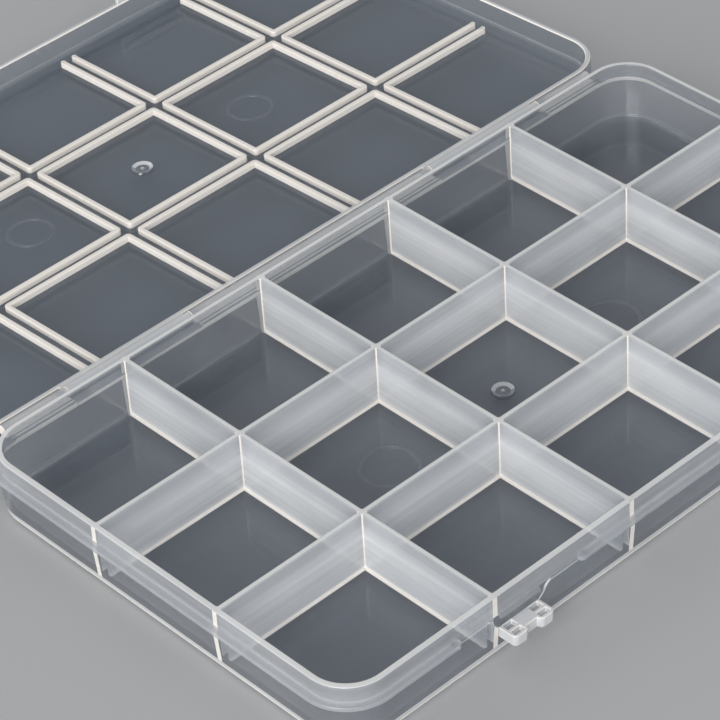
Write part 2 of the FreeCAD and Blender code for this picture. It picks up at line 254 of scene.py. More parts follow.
@dataclass(frozen=True)
class BoxFrame:
    """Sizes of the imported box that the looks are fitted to, in metres."""

    hinge: Hinge
    divider_x: tuple[float, ...]
    divider_y: tuple[float, ...]
    divider: float
    inner_x: float
    inner_y: float
    outer_x: float
    outer_y: float
    lid_x: float
    lid_y: float
    floor: float
    rim: float
    ledge_low: float
    ledge_top: float
    hinge_end: float
    notch: Span
    latch: float
    thumb_half: float
    thumb_top: float

    DIVIDER_DRAFT = math.tan(math.radians(0.6))
    LID_CORNER = 9.9 * MM
    CORNER_STEPS = 14

    @classmethod
    def read(cls, frame: dict) -> BoxFrame:
        """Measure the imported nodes.


        Returns:
            The sizes that the pieces below share.
        """
        joint = next(j for j in frame["joints"] if j["name"] == "lid_hinge")
        hinge = Hinge(Vector(joint["pos_m"]), math.radians(joint["range_deg"][1]))
        cross = [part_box(f"cross_divider_{number}") for number in range(1, 5)]
        along = [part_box(f"long_divider_{name}") for name in ("front", "back")]
        ledge_low, ledge_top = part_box("rim_ledge_front")
        left_low, left_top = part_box("rim_ledge_left")
        thumb_low, thumb_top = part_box("thumb_lip_right")
        depth = cross[0][1].z - cross[0][0].z
        foot = cross[0][1].x - cross[0][0].x
        return cls(
            hinge=hinge,
            divider_x=tuple((low.x + high.x) / 2 for low, high in cross),
            divider_y=tuple((low.y + high.y) / 2 for low, high in along),
            divider=foot - 2 * depth * cls.DIVIDER_DRAFT,
            inner_x=along[0][1].x,
            inner_y=cross[0][1].y,
            outer_x=-left_low.x - (ledge_top.y - ledge_low.y),
            outer_y=-ledge_top.y,
            lid_x=-left_low.x,
            lid_y=-ledge_low.y,
            floor=cross[0][0].z,
            rim=cross[0][1].z,
            ledge_low=ledge_low.z,
            ledge_top=ledge_top.z,
            hinge_end=-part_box("tray_hinge_left")[0].x,
            notch=(ledge_top.x, -left_top.x),
            latch=(thumb_low.x + thumb_top.x) / 2,
            thumb_half=(thumb_top.x - thumb_low.x) / 2,
            thumb_top=thumb_top.z,
        )

    def cells(self) -> list[tuple[int, int]]:
        """Column and row of each compartment."""
        rows = range(len(self.divider_y) + 1)
        return [(column, row) for column in range(len(self.divider_x) + 1) for row in rows]


def rounded_loop(x: Span, y: Span, radii: Sequence[float], z: float, steps: int) -> list[Vector]:
    """Points round a rectangle with a radius at each corner.

    Args:
        x: Low and high X.
        y: Low and high Y.
        radii: Corner radii, anticlockwise from the low corner.
        z: Height.
        steps: Steps round each corner.

    Returns:
        Points anticlockwise, steps + 1 for each corner.
    """
    corners = ((x[0], y[0], 1, 1), (x[1], y[0], -1, 1), (x[1], y[1], -1, -1), (x[0], y[1], 1, -1))
    points = []
    for index, ((corner_x, corner_y, to_x, to_y), radius) in enumerate(zip(corners, radii)):
        for step in range(steps + 1):
            angle = math.radians(180 + 90 * index + 90 * step / steps)
            points.append(Vector((corner_x + to_x * radius + radius * math.cos(angle),
                                  corner_y + to_y * radius + radius * math.sin(angle), z)))
    return points


def quarter(steps: int) -> Iterable[tuple[float, float]]:
    """Shares of a radius along a quarter round, as (1 - cos, 1 - sin) pairs from start to end."""
    for step in range(steps + 1):
        turn = math.radians(90 * step / steps)
        yield 1 - math.cos(turn), 1 - math.sin(turn)


class Shell:
    """A closed skin built from rings of points, with a surface for each face."""

    SHARP = math.radians(40)
    WELD = 0.001 * MM

    def __init__(self) -> None:
        """Start an empty skin."""
        self.mesh = bmesh.new()

    def stack(self, rings: Sequence[Sequence[Vector]],
              surface: Callable[[int, int], Surface]) -> tuple[Loop, Loop]:
        """Join rings by bands of faces, one ring after another.

        Args:
            rings: Rings of points, with as many points each.
            surface: Gives a face's surface from the number of its band and of its first point.

        Returns:
            The loops of the first and the last ring.
        """
        loops = [[self.mesh.verts.new(point) for point in ring] for ring in rings]
        for band, (first, second) in enumerate(zip(loops, loops[1:])):
            for index in range(len(first)):
                after = (index + 1) % len(first)
                face = self.mesh.faces.new((first[index], first[after], second[after], second[index]))
                face.material_index = surface(band, index).value
        return loops[0], loops[-1]

    def cap(self, loop: Loop, surface: Surface) -> None:
        """Close a loop with one face."""
        self.mesh.faces.new(loop).material_index = surface.value

    def fill(self, loops: Sequence[Loop], surface: Surface) -> None:
        """Fill the flat region between an outer loop and the loops inside it."""
        edges = []
        for loop in loops:
            for index, vert in enumerate(loop):
                edges.append(self.mesh.edges.get((vert, loop[(index + 1) % len(loop)])))
        made = bmesh.ops.triangle_fill(self.mesh, edges=edges, use_beauty=True, use_dissolve=False)
        for face in made["geom"]:
            if isinstance(face, bmesh.types.BMFace):
                face.material_index = surface.value

    def close(self, name: str, materials: Materials, place: Matrix | None = None) -> bpy.types.Mesh:
        """Close the skin and make it a mesh.

        Args:
            name: Mesh name.
            materials: Material for each surface.
            place: Turn applied to the points, if any.

        Returns:
            The mesh, with a material slot for each surface.
        """
        bmesh.ops.remove_doubles(self.mesh, verts=self.mesh.verts[:], dist=self.WELD)
        bmesh.ops.recalc_face_normals(self.mesh, faces=self.mesh.faces[:])
        if place:
            bmesh.ops.transform(self.mesh, matrix=place, verts=self.mesh.verts[:])
        mesh = bpy.data.meshes.new(name)
        self.mesh.to_mesh(mesh)
        self.mesh.free()
        for surface in Surface:
            mesh.materials.append(materials[surface])
        return mesh

    def finish(self, name: str, materials: Materials, place: Matrix | None = None) -> bpy.types.Object:
        """Close the skin and make it a smoothly shaded object at the origin."""
        return linked(smooth(self.close(name, materials, place), self.SHARP), name)


def smooth(mesh: bpy.types.Mesh, angle: float) -> bpy.types.Mesh:
    """Shade a mesh smooth with sharp edges past an angle."""
    mesh.shade_smooth()
    mesh.set_sharp_from_angle(angle=angle)
    return mesh


def linked(mesh: bpy.types.Mesh, name: str) -> bpy.types.Object:
    """Make a scene object of a mesh, with normals that follow the larger faces."""
    piece = bpy.data.objects.new(name, mesh)
    bpy.context.scene.collection.objects.link(piece)
    weighted = piece.modifiers.new("even_shading", "WEIGHTED_NORMAL")
    weighted.keep_sharp = True
    return piece


def plain_mesh(piece: bpy.types.Object) -> bpy.types.Mesh:
    """Evaluate an object's modifiers and return the result as a mesh of its own."""
    graph = bpy.context.evaluated_depsgraph_get()
    return bpy.data.meshes.new_from_object(piece.evaluated_get(graph), depsgraph=graph)


def repaint(piece: bpy.types.Object, material: bpy.types.Material,
            chosen: Callable[[Vector, Vector], bool]) -> None:
    """Give another finish to some faces.

    Args:
        piece: Object to change.
        material: New finish.
        chosen: Tells from a face's centre and normal whether it changes.
    """
    mesh = piece.data
    mesh.materials.append(material)
    for face in mesh.polygons:
        if chosen(face.center, face.normal):
            face.material_index = len(mesh.materials) - 1


def carry(piece: bpy.types.Object, body: str, slot: str, *nodes: str) -> None:
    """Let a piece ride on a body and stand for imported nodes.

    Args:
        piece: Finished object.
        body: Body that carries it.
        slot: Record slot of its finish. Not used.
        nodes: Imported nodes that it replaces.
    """
    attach(piece, body)
    if nodes:
        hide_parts(*nodes)
    LOG.info("%s rides on %s and stands for %d nodes", piece.name, body, len(nodes))


class SweptMoulding:
    """Geometry Nodes tree that sweeps a rounded bar along the edges of a mesh."""

    SECTION_STEPS = 3
    DISC_POINTS = 20

    def __init__(self) -> None:
        """Build the tree once; each sweep sets its own inputs."""
        self.tree = bpy.data.node_groups.new("swept_moulding", "GeometryNodeTree")
        self.sockets: dict[str, str] = {}
        self._interface()
        self._nodes()

    def _interface(self) -> None:
        face = self.tree.interface
        face.new_socket("Geometry", in_out="INPUT", socket_type="NodeSocketGeometry")
        kinds = {"Width": "Float", "Height": "Float", "Edge round": "Float", "Corner radius": "Float",
                 "Corner steps": "Int", "Round ends": "Bool", "Material": "Material"}
        for name, kind in kinds.items():
            socket = face.new_socket(name, in_out="INPUT", socket_type=f"NodeSocket{kind}")
            self.sockets[name] = socket.identifier
        face.new_socket("Geometry", in_out="OUTPUT", socket_type="NodeSocketGeometry")

    def _nodes(self) -> None:
        """Wire the sweep: path, rounded corners, bar section, round ends, material."""
        wire = Wiring(self.tree)
        given = wire.add("NodeGroupInput").outputs
        path = wire.add("GeometryNodeMeshToCurve", {"Mesh": given["Geometry"]}).outputs["Curve"]
        rounded = wire.add("GeometryNodeFilletCurve", {"Curve": path, "Radius": given["Corner radius"],
                                                       "Count": given["Corner steps"], "Limit Radius": True},
                           mode="POLY").outputs["Curve"]
        upright = wire.add("GeometryNodeSetCurveNormal", {"Curve": rounded}, mode="Z_UP").outputs["Curve"]
        section = wire.add("GeometryNodeCurvePrimitiveQuadrilateral",
                           {"Width": given["Width"], "Height": given["Height"]}).outputs["Curve"]
        eased = wire.add("GeometryNodeFilletCurve", {"Curve": section, "Radius": given["Edge round"],
                                                     "Count": self.SECTION_STEPS, "Limit Radius": True},
                         mode="POLY").outputs["Curve"]
        bar = wire.add("GeometryNodeCurveToMesh", {"Curve": upright, "Profile Curve": eased,
                                                   "Fill Caps": True})
        joined = wire.add("GeometryNodeJoinGeometry", {"Geometry": bar.outputs["Mesh"]})
        self.tree.links.new(self._ends(wire, given), joined.inputs["Geometry"])
        real = wire.add("GeometryNodeRealizeInstances", {"Geometry": joined.outputs["Geometry"]})
        dressed = wire.add("GeometryNodeSetMaterial", {"Geometry": real.outputs["Geometry"],
                                                       "Material": given["Material"]})
        wire.add("NodeGroupOutput", {"Geometry": dressed.outputs["Geometry"]})

    def _ends(self, wire: Wiring, given: bpy.types.NodeOutputs) -> bpy.types.NodeSocket:
        """Upright discs on the free ends of the paths.

        Args:
            wire: The tree to add to.
            given: The tree's inputs.

        Returns:
            Geometry socket with the instances.
        """
        near = wire.add("GeometryNodeInputMeshVertexNeighbors").outputs["Vertex Count"]
        single = wire.add("FunctionNodeCompare", {"A": near, "B": 1}, data_type="INT", operation="EQUAL")
        wanted = wire.add("FunctionNodeBooleanMath", {0: single.outputs["Result"], 1: given["Round ends"]},
                          operation="AND").outputs["Boolean"]
        disc = wire.add("GeometryNodeMeshCylinder", {"Vertices": self.DISC_POINTS, "Depth": given["Height"],
                                                     "Radius": wire.math("MULTIPLY", given["Width"], 0.5)})
        spots = wire.add("GeometryNodeInstanceOnPoints", {"Points": given["Geometry"], "Selection": wanted,
                                                          "Instance": disc.outputs["Mesh"]})
        return spots.outputs["Instances"]

    def sweep(self, name: str, paths: Sequence[Sequence[Vector]], values: dict[str, object],
              place: Matrix | None = None) -> bpy.types.Object:
        """Sweep the bar along paths.

        Args:
            name: Object name.
            paths: Corner points of each path; one that ends where it starts is closed.
            values: The tree's inputs by name.
            place: Turn applied to the result, if any.

        Returns:
            A plain mesh object at the origin.
        """
        points = []
        edges = []
        for path in paths:
            start = len(points)
            corners = path[:-1] if path[0] == path[-1] else path
            points += [tuple(corner) for corner in corners]
            edges += [(start + step, start + (step + 1) % len(corners)) for step in range(len(path) - 1)]
        wire = bpy.data.meshes.new(name + "_path")
        wire.from_pydata(points, edges, [])
        carrier = bpy.data.objects.new(name + "_path", wire)
        bpy.context.scene.collection.objects.link(carrier)
        nodes = carrier.modifiers.new("sweep", "NODES")
        nodes.node_group = self.tree
        for label, value in values.items():
            nodes[self.sockets[label]] = value
        mesh = plain_mesh(carrier)
        bpy.data.objects.remove(carrier)
        bpy.data.meshes.remove(wire)
        mesh.name = name
        if place:
            mesh.transform(place)
        return linked(smooth(mesh, Shell.SHARP), name)


@dataclass
class TrayMoulding:
    """Tray in one skin: floor, walls, lip and the grid of dividers."""

    box: BoxFrame
    materials: Materials
    shoulder: float = 0.35 * MM
    base_inset: float = 0.3 * MM
    base_round: float = 1.4 * MM
    outer_corner: float = 8.6 * MM
    inner_corner: float = 7.4 * MM
    rim_round: float = 0.18 * MM
    cell_corner: float = 0.2 * MM
    least_corner: float = 0.05 * MM
    foot_round: float = 0.5 * MM
    foot_steps: int = 4
    foot_glow: float = 2.2 * MM
    step_round: float = 0.2 * MM
    panel_half: float = 6.0 * MM
    panel_steps: int = 8
    panel_flare: float = 1.8 * MM
    panel_lean: float = 1.3
    panel_land: float = 0.02 * MM
    panel_spare: float = 0.2 * MM
    wall_draft: float = math.tan(math.radians(1.2))
    round_steps: int = 3

    def dress(self) -> None:
        """Shape the tray, and let it stand for the shell and the dividers."""
        crossing = [f"cross_divider_{number + 1}" for number in range(len(self.box.divider_x))]
        carry(self.build(), "tray", "tray_plastic", "tray_shell", *crossing, "long_divider_front",
              "long_divider_back")

    def build(self) -> bpy.types.Object:
        """Shape the skin.

        Returns:
            The tray object.
        """
        shell = Shell()
        rim = self._outside(shell)
        cells = [self._cell(shell, column, row) for column, row in self.box.cells()]
        shell.fill([rim, *cells], Surface.RIM)
        return self._recessed(shell.close("tray_skin", self.materials))

    def _recessed(self, skin: bpy.types.Mesh) -> bpy.types.Object:
        """Set the two latch panels back into the front wall.

        Args:
            skin: The tray's skin with a plain front wall.

        Returns:
            The tray object.
        """
        tool = Shell()
        near = self.box.outer_y + self.panel_land
        for side in (-1, 1):
            centre = side * self.box.latch
            ends = (self._panel(centre, -near, 0.0),
                    self._panel(centre, -near - self.panel_flare, self.panel_lean * self.panel_flare))
            for loop in tool.stack(ends, lambda band, index: Surface.FROST):
                tool.cap(loop, Surface.WALL)
        cutter = bpy.data.objects.new("panel_tool", tool.close("panel_tool", self.materials))
        blank = bpy.data.objects.new("tray_blank", skin)
        for piece in (cutter, blank):
            bpy.context.scene.collection.objects.link(piece)
        recess = blank.modifiers.new("recess", "BOOLEAN")
        recess.operation = "DIFFERENCE"
        recess.solver = "EXACT"
        recess.object = cutter
        mesh = plain_mesh(blank)
        mesh.name = "tray_moulding"
        for piece in (cutter, blank):
            bpy.data.objects.remove(piece)
        return linked(smooth(mesh, Shell.SHARP), mesh.name)

    def _panel(self, centre: float, y: float, grow: float) -> list[Vector]:
        """Outline of a latch panel: upright sides that lean out, then flare to the ledge.

        Args:
            centre: X of the latch.
            y: Plane of the outline.
            grow: How much wider each side is.

        Returns:
            Points round the panel.
        """
        box = self.box
        half = [(box.thumb_half, box.thumb_top)]
        for back, up in quarter(self.panel_steps):
            half.append((self.panel_half + self.panel_flare * back, box.ledge_low - self.panel_flare * up))
        half.append((self.panel_half + self.panel_flare, box.ledge_low + self.panel_spare))
        right = [Vector((centre + x + grow, y, z)) for x, z in half]
        return right + [Vector((centre - x - grow, y, z)) for x, z in reversed(half)]

    def _ring(self, out: float, z: float) -> list[Vector]:
        """Outline of the tray, offset outward from the lip, with points beside the ends of the dividers."""
        half_x = self.box.outer_x + out
        half_y = self.box.outer_y + out
        corners = rounded_loop((-half_x, half_x), (-half_y, half_y), (self.outer_corner + out,) * 4, z,
                               self.box.CORNER_STEPS)
        across = self._stops(self.box.divider_x)
        along = self._stops(self.box.divider_y)
        sides = ([(x, -half_y) for x in across], [(half_x, y) for y in along],
                 [(x, half_y) for x in reversed(across)], [(-half_x, y) for y in reversed(along)])
        count = self.box.CORNER_STEPS + 1
        points = []
        for number, side in enumerate(sides):
            points += corners[number * count:(number + 1) * count]
            points += [Vector((x, y, z)) for x, y in side]
        return points

    def _stops(self, centres: Sequence[float]) -> list[float]:
        """Where dividers begin and end along a wall, from their centres."""
        return [centre + side * self.box.divider / 2 for centre in centres for side in (-1, 1)]

    def _divider_ends(self) -> set[int]:
        """Numbers of the outline's faces that lie on the ends of dividers."""
        ends = set()
        start = 0
        for centres in (self.box.divider_x, self.box.divider_y) * 2:
            start += self.box.CORNER_STEPS + 1
            ends.update(start + 2 * number for number in range(len(centres)))
            start += 2 * len(centres)
        return ends

    def _outside(self, shell: Shell) -> Loop:
        """Underside, wall, shoulder and lip.

        Args:
            shell: Skin to add to.

        Returns:
            The loop at the top of the rim.
        """
        box = self.box
        clear, wall, ledge, frost, edge = (Surface.CLEAR, Surface.WALL, Surface.LEDGE, Surface.FROST,
                                           Surface.EDGE)
        # Painted light: the feet and lip at the front and left take brighter, hazier finishes than at the
        # back and right, standing for the glow of light carried down the walls.
        near_foot = (clear, clear, wall, frost, edge, edge, frost)
        far_foot = (clear, clear, clear, wall, ledge, ledge, wall)
        rows = [(-self.base_inset - self.base_round * up, self.base_round * back, near, far)
                for (back, up), near, far in zip(quarter(len(near_foot) - 1), near_foot, far_foot)]
        climb = (self.foot_glow - self.base_round) / (box.ledge_low - self.base_round)
        rows.append((climb * (self.shoulder + self.base_inset) - self.base_inset, self.foot_glow, wall, wall))
        rows.append((self.shoulder, box.ledge_low - self.step_round, ledge, ledge))
        rows.append((self.shoulder - self.step_round, box.ledge_low, wall, wall))
        rows.append((0.0, box.ledge_low, ledge, wall))
        for back, up in quarter(self.round_steps):
            rows.append((-self.rim_round * back, box.rim - self.rim_round * up, frost, wall))
        ends = self._divider_ends()
        rings = [self._ring(out, z) for out, z, _, _ in rows]

        def dress(band: int, index: int) -> Surface:
            """Surface of a face: painted light, hazier and brighter at the front and left, and a painted glow
            on the ends of dividers.
            """
            start = rings[band][index]
            _, _, near, far = rows[band]
            plain = near if start.x / box.inner_x + start.y / box.inner_y < 0 else far
            # Painted glow: the wall faces on the ends of dividers take the bright edge finish.
            return edge if index in ends and plain in (wall, ledge) else plain

        base, rim = shell.stack(rings, dress)
        shell.cap(base, clear)
        return rim

    def _cell(self, shell: Shell, column: int, row: int) -> Loop:
        """One compartment: rounded rim, drafted walls, foot and floor.

        Args:
            shell: Skin to add to.
            column: Place along X.
            row: Place along Y.

        Returns:
            The loop at the rim.
        """
        box = self.box
        half = box.divider / 2
        xs = (-box.inner_x, *box.divider_x, box.inner_x)
        ys = (-box.inner_y, *box.divider_y, box.inner_y)
        at_wall = (row == 0, column == len(xs) - 2, row == len(ys) - 2, column == 0)
        sides = (ys[row] + (0 if at_wall[0] else half), xs[column + 1] - (0 if at_wall[1] else half),
                 ys[row + 1] - (0 if at_wall[2] else half), xs[column] + (0 if at_wall[3] else half))
        draft = [self.wall_draft if wall else box.DIVIDER_DRAFT for wall in at_wall]
        outer = [at_wall[index] and at_wall[index - 1] for index in range(4)]
        radii = [self.inner_corner if big else self.cell_corner for big in outer]

        def ring(inset: float, z: float) -> list[Vector]:
            """Outline of the compartment at a height, set in by an even margin."""
            inward = [rate * (box.rim - z) + inset for rate in draft]
            tight = [max(radius - inset, self.least_corner) for radius in radii]
            return rounded_loop((sides[3] + inward[3], sides[1] - inward[1]),
                                (sides[0] + inward[0], sides[2] - inward[2]), tight, z, box.CORNER_STEPS)

        def wall(index: int) -> Surface:
            """Surface of the upright face at a point: corners where dividers meet each other or the back and
            right walls take the bright edge finish, partly for the thicker plastic there and partly as a
            painted glow; those by the front and left walls keep the divider finish.
            """
            corner, step = divmod(index, box.CORNER_STEPS + 1)
            if step == box.CORNER_STEPS:
                return Surface.WALL if at_wall[corner] else Surface.DIVIDER
            if outer[corner]:
                return Surface.WALL
            near = (at_wall[0] and corner in (0, 1)) or (at_wall[3] and corner in (0, 3))
            return Surface.DIVIDER if near else Surface.EDGE

        def foot(index: int) -> Surface:
            """Surface of the foot below a point: the feet of dividers take the bright edge finish, partly for
            the thicker plastic there and partly as a painted glow.
            """
            return Surface.EDGE if wall(index) is not Surface.WALL else Surface.CLEAR

        rows = [(-self.rim_round * up, box.rim - self.rim_round * back, wall)
                for back, up in quarter(self.round_steps)]
        rows += [(self.foot_round * back, box.floor + self.foot_round * up, foot)
                 for back, up in quarter(self.foot_steps)]
        rings = [ring(inset, z) for inset, z, _ in rows]
        rim, base = shell.stack(rings, lambda band, index: rows[band][2](index))
        shell.cap(base, Surface.CLEAR)
        return rim


@dataclass
class LidMoulding:
    """Lid's plate and skirt in one skin, and the ribs inside it."""

    box: BoxFrame
    materials: Materials
    skirt: float = 1.1 * MM
    seat_gap: float = 0.1 * MM
    headroom: float = 0.95 * MM
    plate: float = 1.25 * MM
    plate_round: float = 1.0 * MM
    plate_steps: int = 5
    inside_round: float = 0.45 * MM
    inside_steps: int = 3
    edge_round: float = 0.25 * MM
    rib_width: float = 1.1 * MM
    rib_height: float = 1.2 * MM
    rib_side_gap: float = 0.4 * MM
    rib_corner: float = 0.9 * MM
    rib_steps: int = 4
    rib_end_gap: float = 3.9 * MM
    rib_hinge_gap: float = 2.45 * MM
    rib_round: float = 0.2 * MM
    rib_sink: float = 0.2 * MM

    @property
    def plate_low(self) -> float:
        """Height of the plate's inside when the lid is closed."""
        return self.box.rim + self.headroom

    def dress(self, sweeper: SweptMoulding) -> None:
        """Shape the lid and its ribs, and let them stand for their nodes."""
        carry(self.build(), "lid", "lid_plastic", "lid_panel")
        columns = range(1, len(self.box.divider_x) + 2)
        rows = ("front", "middle", "back")
        frames = [f"lid_rib_frame_{row}_{column}" for row in rows for column in columns]
        carry(self.ribs(sweeper), "lid", "lid_plastic", *frames)

    def build(self) -> bpy.types.Object:
        """Shape the plate and skirt.

        Returns:
            The lid object, swung open.
        """
        box = self.box
        edge = box.ledge_top + self.seat_gap
        low = self.plate_low
        top = low + self.plate
        rows = [(-self.skirt - self.inside_round * up, low - self.inside_round * back, Surface.CLEAR)
                for back, up in quarter(self.inside_steps)]
        rows.append((-self.skirt, edge + self.edge_round, Surface.EDGE))
        rows.append((-self.skirt + self.edge_round, edge, Surface.FROST))
        rows.append((-self.edge_round, edge, Surface.EDGE))
        rows.append((0.0, edge + self.edge_round, Surface.WALL))
        for back, up in quarter(self.plate_steps):
            rows.append((-self.plate_round * back, top - self.plate_round * up, Surface.WALL))
        shell = Shell()
        rings = [self._ring(out, z) for out, z, _ in rows]
        for loop in shell.stack(rings, lambda band, index: rows[band][2]):
            shell.cap(loop, Surface.PLATE)
        return shell.finish("lid_moulding", self.materials, box.hinge.to_open())

    def _ring(self, out: float, z: float) -> list[Vector]:
        """Outline of the lid, offset outward from its skirt."""
        half_x = self.box.lid_x + out
        half_y = self.box.lid_y + out
        return rounded_loop((-half_x, half_x), (-half_y, half_y), (self.box.LID_CORNER + out,) * 4, z,
                            self.box.CORNER_STEPS)

    def ribs(self, sweeper: SweptMoulding) -> bpy.types.Object:
        """Sweep the rib frames that straddle the dividers.

        Args:
            sweeper: The sweep's node tree.

        Returns:
            One object with all the frames, swung open.
        """
        box = self.box
        paths = []
        tip = self.plate_low - self.rib_height
        middle = tip + (self.rib_height + self.rib_sink) / 2
        for column, row in box.cells():
            x = self._span(column, box.divider_x, box.lid_x, self.rib_end_gap)
            y = self._span(row, box.divider_y, box.lid_y, self.rib_hinge_gap)
            paths.append(self._frame(x, y, middle))
        values = {"Width": self.rib_width, "Height": self.rib_height + self.rib_sink,
                  "Edge round": self.rib_round, "Corner radius": self.rib_corner - self.rib_width / 2,
                  "Corner steps": self.rib_steps, "Round ends": True,
                  "Material": self.materials[Surface.EDGE]}
        return sweeper.sweep("lid_ribs", paths, values, box.hinge.to_open())

    def _span(self, index: int, dividers: Sequence[float], wall: float, last_gap: float) -> RibSpan:
        """Centre lines of a frame's two sides, and whether each side has a rib.

        Args:
            index: Compartment number along this direction.
            dividers: Divider centres along it.
            wall: Half size of the lid.
            last_gap: Skirt to the free ends of the last compartment's ribs.

        Returns:
            Start, end, whether the start is ribbed and whether the end is.
        """
        beside = self.box.divider / 2 + self.rib_side_gap + self.rib_width / 2
        inside = wall - self.skirt - self.rib_width / 2
        first = index == 0
        last = index == len(dividers)
        start = self.rib_end_gap - inside if first else dividers[index - 1] + beside
        end = inside - last_gap if last else dividers[index] - beside
        return start, end, not first, not last

    @staticmethod
    def _frame(x: RibSpan, y: RibSpan, z: float) -> list[Vector]:
        """Path along the ribbed sides of one frame, closed where all four are ribbed.

        Args:
            x: Start and end along X, and whether each has a rib.
            y: The same along Y.
            z: Height.

        Returns:
            Corner points.
        """
        corners = [Vector((x[i], y[j], z)) for i, j in ((0, 0), (1, 0), (1, 1), (0, 1))]
        ribbed = (y[2], x[3], y[3], x[2])
        start = next((side for side in range(4) if ribbed[side] and not ribbed[side - 1]), 0)
        return [corners[(start + step) % 4] for step in range(sum(ribbed) + 1)]


@dataclass
class Ledge:
    """Outside ledge of the tray, swept along the lip in lengths."""

    box: BoxFrame
    materials: Materials
    sink: float = 0.55 * MM
    edge_round: float = 0.15 * MM

    ROOT_LEAN = -0.4
    FLAT = 0.95

    def dress(self, sweeper: SweptMoulding) -> None:
        """Sweep the lengths, and let each stand for its node."""
        for node, piece in self.build(sweeper).items():
            carry(piece, "tray", "tray_plastic", node)

    def build(self, sweeper: SweptMoulding) -> dict[str, bpy.types.Object]:
        """Sweep the lengths.

        Args:
            sweeper: The sweep's node tree.

        Returns:
            Objects by the name of the node that each replaces.
        """
        box = self.box
        width = box.lid_x - box.outer_x + self.sink
        x = box.lid_x - width / 2
        y = box.lid_y - width / 2
        z = (box.ledge_low + box.ledge_top) / 2
        near = box.notch[0] - width / 2
        far = box.notch[1] + width / 2
        end = [Vector((-far, -y, z)), Vector((-x, -y, z)), Vector((-x, y, z)), Vector((-box.hinge_end, y, z))]
        paths = {"rim_ledge_left": end, "rim_ledge_right": [Vector((-p.x, p.y, p.z)) for p in end],
                 "rim_ledge_front": [Vector((-near, -y, z)), Vector((near, -y, z))]}
        values = {"Width": width, "Height": box.ledge_top - box.ledge_low, "Edge round": self.edge_round,
                  "Corner radius": box.LID_CORNER - width / 2, "Corner steps": box.CORNER_STEPS,
                  "Round ends": True, "Material": self.materials[Surface.LEDGE]}
        pieces = {node: sweeper.sweep(f"{node}_moulding", [path], values) for node, path in paths.items()}
        values["Round ends"] = False
        for node in ("rim_ledge_back_left", "rim_ledge_back_right"):
            path = [Vector((corner.x, y, z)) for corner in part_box(node)]
            pieces[node] = sweeper.sweep(f"{node}_moulding", [path], values)

        def painted_glow(centre: Vector, normal: Vector) -> bool:
            """Tell whether a face gets a painted glow: at the root, and upright on the right side only."""
            rooted = normal.dot(centre.normalized()) < self.ROOT_LEAN
            return rooted or (centre.x > box.outer_x and abs(normal.z) < self.FLAT)

        # Painted glow: the chosen faces take the bright edge finish.
        for piece in pieces.values():
            repaint(piece, self.materials[Surface.EDGE], painted_glow)
        return pieces


